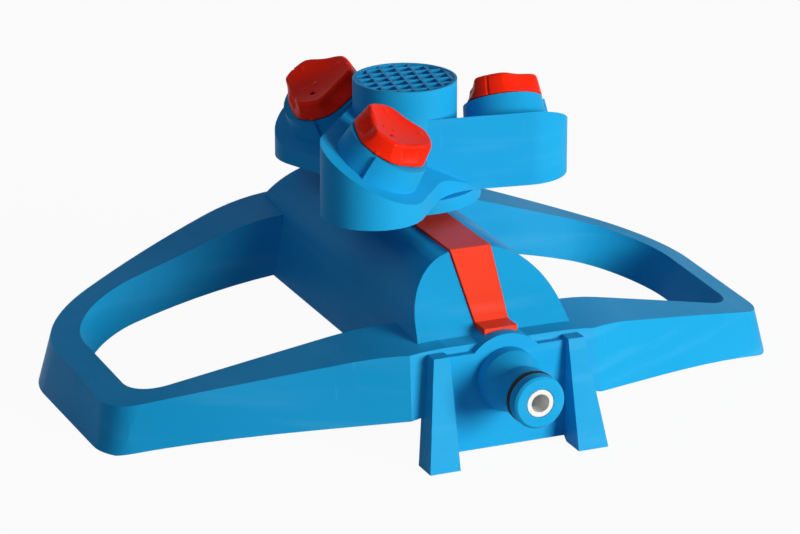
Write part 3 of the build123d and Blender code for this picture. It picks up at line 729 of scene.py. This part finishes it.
def seen_rays(tree):
    """1 for rays from the camera, from gloss and through glass, otherwise 0."""
    path = tree.nodes.new("ShaderNodeLightPath")
    kinds = ("Is Camera Ray", "Is Glossy Ray", "Is Transmission Ray")
    return combined(tree, "MAXIMUM", *(path.outputs[kind] for kind in kinds))


def floor_material(colour, white_share):
    """Matt colour that keeps a shadow, and that the camera, gloss and glass see as white by white_share."""
    material = new_material("Pale floor")
    tree = material.node_tree
    matt = add(tree, "ShaderNodeBsdfDiffuse", {"Color": (*colour, 1)})
    white = add(tree, "ShaderNodeEmission", {"Color": WHITE, "Strength": 1.0})
    share = combined(tree, "MULTIPLY", seen_rays(tree), white_share)
    mixed = add(tree, "ShaderNodeMixShader", {0: share, 1: matt.outputs["BSDF"], 2: white.outputs["Emission"]})
    add(tree, "ShaderNodeOutputMaterial", {"Surface": mixed.outputs["Shader"]})
    return material


def white_world(colour, strength):
    """Surroundings that light the object with a colour, and that the camera, gloss and glass see as white."""
    world = bpy.data.worlds.new("White surroundings")
    world.use_nodes = True
    tree = world.node_tree
    tree.nodes.clear()
    light = add(tree, "ShaderNodeBackground", {"Color": (*colour, 1), "Strength": strength})
    white = add(tree, "ShaderNodeBackground", {"Color": WHITE, "Strength": 1.0})
    sides = {0: seen_rays(tree), 1: light.outputs["Background"], 2: white.outputs["Background"]}
    mixed = add(tree, "ShaderNodeMixShader", sides)
    add(tree, "ShaderNodeOutputWorld", {"Surface": mixed.outputs["Shader"]})
    return world


def aim(piece, place, target):
    """Puts a lamp or camera at place and turns it to target."""
    piece.location = place
    piece.rotation_euler = (Vector(target) - Vector(place)).to_track_quat("-Z", "Y").to_euler()


def soft_lamp(name, place, target, side, power, colour):
    """Square area lamp that faces target."""
    lamp = bpy.data.lights.new(name, "AREA")
    lamp.shape = "SQUARE"
    lamp.size = side
    lamp.energy = power
    lamp.color = colour
    aim(new_object(name, lamp), place, target)


class SPRINKLER_OT_stage(Operator):
    """Pale floor, white surroundings, two soft lamps and the camera."""

    bl_idname = "sprinkler.stage"
    bl_label = "Stage"

    def execute(self, context):
        scene = context.scene
        stage = scene.sprinkler_stage

        half = stage.floor_half
        corners = [(-half, -half), (half, -half), (half, half), (-half, half)]
        mesh = bpy.data.meshes.new("Floor")
        mesh.from_pydata([(x, y, -FLOOR_DEPTH) for x, y in corners], [], [(0, 1, 2, 3)])
        mesh.materials.append(floor_material(stage.floor_colour, stage.floor_share))
        new_object("Floor", mesh)

        scene.world = white_world(stage.sky_colour, stage.sky)
        soft_lamp("Key lamp", stage.key_place, stage.target, stage.key_side, stage.key, stage.key_colour)
        soft_lamp("Fill lamp", stage.fill_place, stage.target, stage.fill_side, stage.fill, stage.fill_colour)

        camera = bpy.data.cameras.new("Camera")
        camera.lens = stage.lens
        camera.sensor_width = 36.0
        scene.camera = new_object("Camera", camera)
        aim(scene.camera, stage.camera, stage.target)
        scene.view_settings.view_transform = "Standard"
        return {"FINISHED"}


# Add-on


class SPRINKLER_PT_panel(Panel):
    """The sprinkler's pieces and their settings."""

    bl_idname = "SPRINKLER_PT_panel"
    bl_label = "Garden sprinkler"
    bl_space_type = "VIEW_3D"
    bl_region_type = "UI"
    bl_category = "Sprinkler"

    def draw(self, context):
        column = self.layout.column()
        for kind in OPERATORS:
            column.operator(kind.bl_idname)
        for holder, settings in SETTINGS.items():
            group = getattr(context.scene, holder)
            box = self.layout.box()
            for name in settings.__annotations__:
                box.prop(group, name)


OPERATORS = (
    SPRINKLER_OT_inner,
    SPRINKLER_OT_base,
    SPRINKLER_OT_inlet,
    SPRINKLER_OT_rotor,
    SPRINKLER_OT_dials,
    SPRINKLER_OT_stage,
)
SETTINGS = {
    "sprinkler_plastics": SPRINKLER_PG_plastics,
    "sprinkler_edges": SPRINKLER_PG_edges,
    "sprinkler_plate": SPRINKLER_PG_plate,
    "sprinkler_dials": SPRINKLER_PG_dials,
    "sprinkler_stage": SPRINKLER_PG_stage,
}


def register():
    """Registers the classes and hangs the settings on the scene."""
    for kind in (*SETTINGS.values(), *OPERATORS, SPRINKLER_PT_panel):
        bpy.utils.register_class(kind)
    for holder, settings in SETTINGS.items():
        setattr(bpy.types.Scene, holder, PointerProperty(type=settings))


def unregister():
    """Takes the settings off the scene and unregisters the classes."""
    for holder in SETTINGS:
        delattr(bpy.types.Scene, holder)
    for kind in (SPRINKLER_PT_panel, *OPERATORS, *SETTINGS.values()):
        bpy.utils.unregister_class(kind)


def main():
    """Builds the looks in order."""
    register()
    bpy.ops.sprinkler.inner()
    bpy.ops.sprinkler.base()
    bpy.ops.sprinkler.inlet()
    bpy.ops.sprinkler.rotor()
    bpy.ops.sprinkler.dials()
    bpy.ops.sprinkler.stage()


if __name__ == "__main__":
    main()
